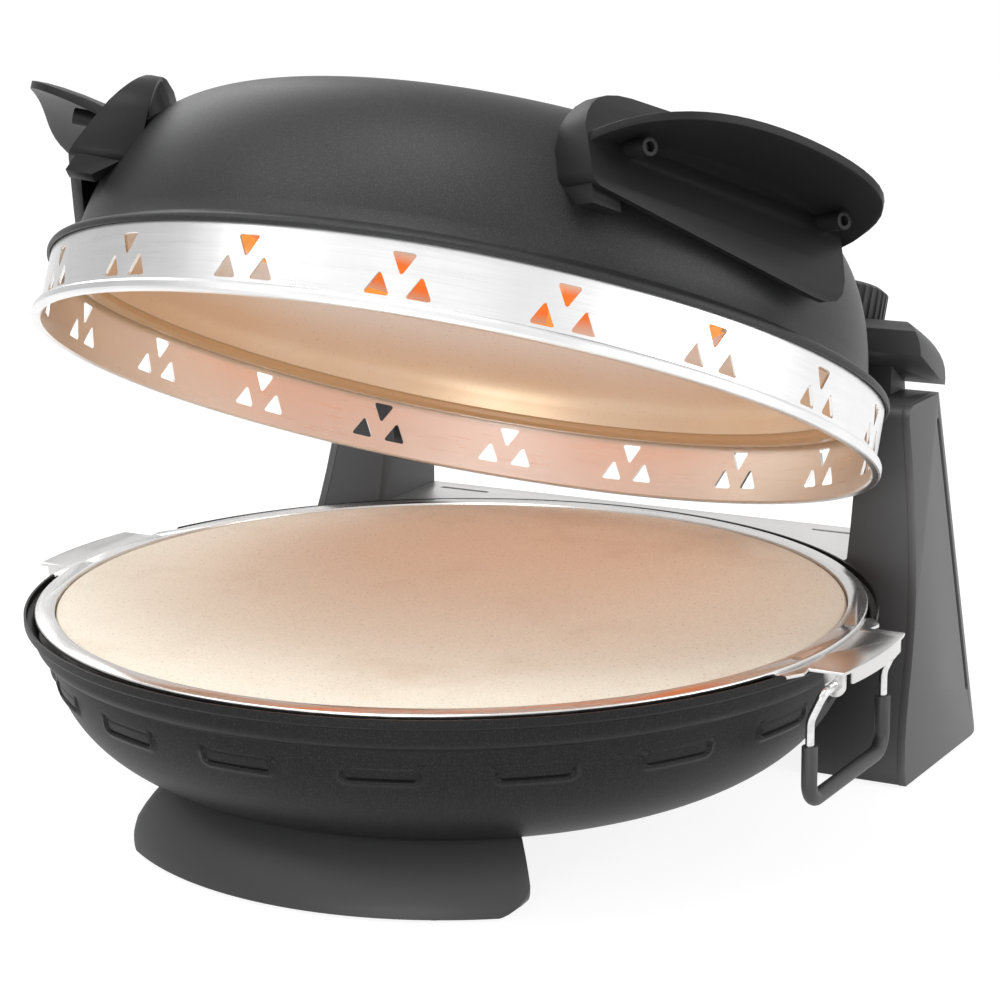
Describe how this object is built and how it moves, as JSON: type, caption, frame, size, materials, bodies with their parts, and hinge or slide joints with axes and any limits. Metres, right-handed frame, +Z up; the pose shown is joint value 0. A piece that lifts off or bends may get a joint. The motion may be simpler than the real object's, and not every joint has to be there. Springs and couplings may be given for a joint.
{
  "type": "electric pizza maker",
  "caption": "Round countertop pizza oven: a steel base with a stone plate in a lift-out tray, and a domed lid that tilts back between two rear towers.",
  "frame": {"origin": "on the ground under the middle of the outline, with the lid open as in rest", "axes": "+Z up, -Y towards the front of the base, +X towards the right-hand tower seen from the front"},
  "size_m": [0.385, 0.3781, 0.3144],
  "materials": {
    "charcoal_paint": "satin, finely speckled",
    "dark_steel": "heat-darkened",
    "zinc_steel": "plain",
    "black_plastic": "fine grain",
    "rubber": "matte",
    "brushed_steel": "brushed",
    "ceramic": "ceramic",
    "cream_enamel": "satin enamel",
    "gold_enamel": "satin enamel",
    "stone": "unglazed cordierite",
    "bright_wire": "bright"
  },
  "bodies": {
    "base": {"base_bowl": "charcoal_paint", "base_rim": "charcoal_paint", "base_liner": "dark_steel", "lower_heater": "dark_steel", "lower_heater_clips": "zinc_steel", "front_foot": "black_plastic", "foot_pads": "rubber", "tower_right": "black_plastic", "tower_left": "black_plastic", "tower_cover_right": "charcoal_paint", "tower_cover_left": "charcoal_paint", "rear_deck": "brushed_steel", "rear_housing": "black_plastic", "rear_housing_cover": "black_plastic", "terminal_block": "ceramic", "cord_inlet": "rubber", "housing_screws": "zinc_steel", "hinge_pins": "zinc_steel", "hinge_washers": "zinc_steel"},
    "lid": {"lid_dome": "charcoal_paint", "lid_band": "brushed_steel", "lid_reflector": "cream_enamel", "lid_trim_ring": "gold_enamel", "upper_heater": "dark_steel", "upper_heater_clips": "zinc_steel", "lid_bridge": "black_plastic", "hinge_arm_right": "black_plastic", "hinge_arm_left": "black_plastic", "lid_handle_right": "black_plastic", "lid_handle_left": "black_plastic", "handle_screws": "zinc_steel", "thermostat": "ceramic"},
    "knob": {"control_knob": "black_plastic", "knob_shaft": "zinc_steel"},
    "tray": {"tray_ring": "brushed_steel", "tray_bracket_right": "brushed_steel", "tray_bracket_left": "brushed_steel", "bracket_rivets": "zinc_steel"},
    "stone": {"pizza_stone": "stone"},
    "bail_right": {"bail_right": "bright_wire", "grip_right": "rubber"},
    "bail_left": {"bail_left": "bright_wire", "grip_left": "rubber"}
  },
  "joints": [
    {"name": "lid_hinge", "type": "hinge", "parent": "base", "child": "lid", "pos_m": [0, 0.1765, 0.1225], "axis": [-1, 0, 0], "range_deg": [-23.8, 10]},
    {"name": "knob_turn", "type": "hinge", "parent": "lid", "child": "knob", "pos_m": [0.103, 0.16668, 0.19317], "axis": [0, 0.4035, 0.915], "range_deg": [0, 270]},
    {"name": "tray_tilt_out", "type": "hinge", "parent": "base", "child": "tray", "pos_m": [0, 0.1625, 0.091], "axis": [-1, 0, 0], "range_deg": [0, 10]},
    {"name": "stone_lift", "type": "slide", "parent": "tray", "child": "stone", "axis": [0, 0, 1], "range_m": [0, 0.005]},
    {"name": "bail_right_swing", "type": "hinge", "parent": "tray", "child": "bail_right", "pos_m": [0.184, -0.011, 0.084], "axis": [0, -1, 0], "range_deg": [-6, 90]},
    {"name": "bail_left_swing", "type": "hinge", "parent": "tray", "child": "bail_left", "pos_m": [-0.184, -0.011, 0.084], "axis": [0, 1, 0], "range_deg": [-6, 90]}
  ]
}
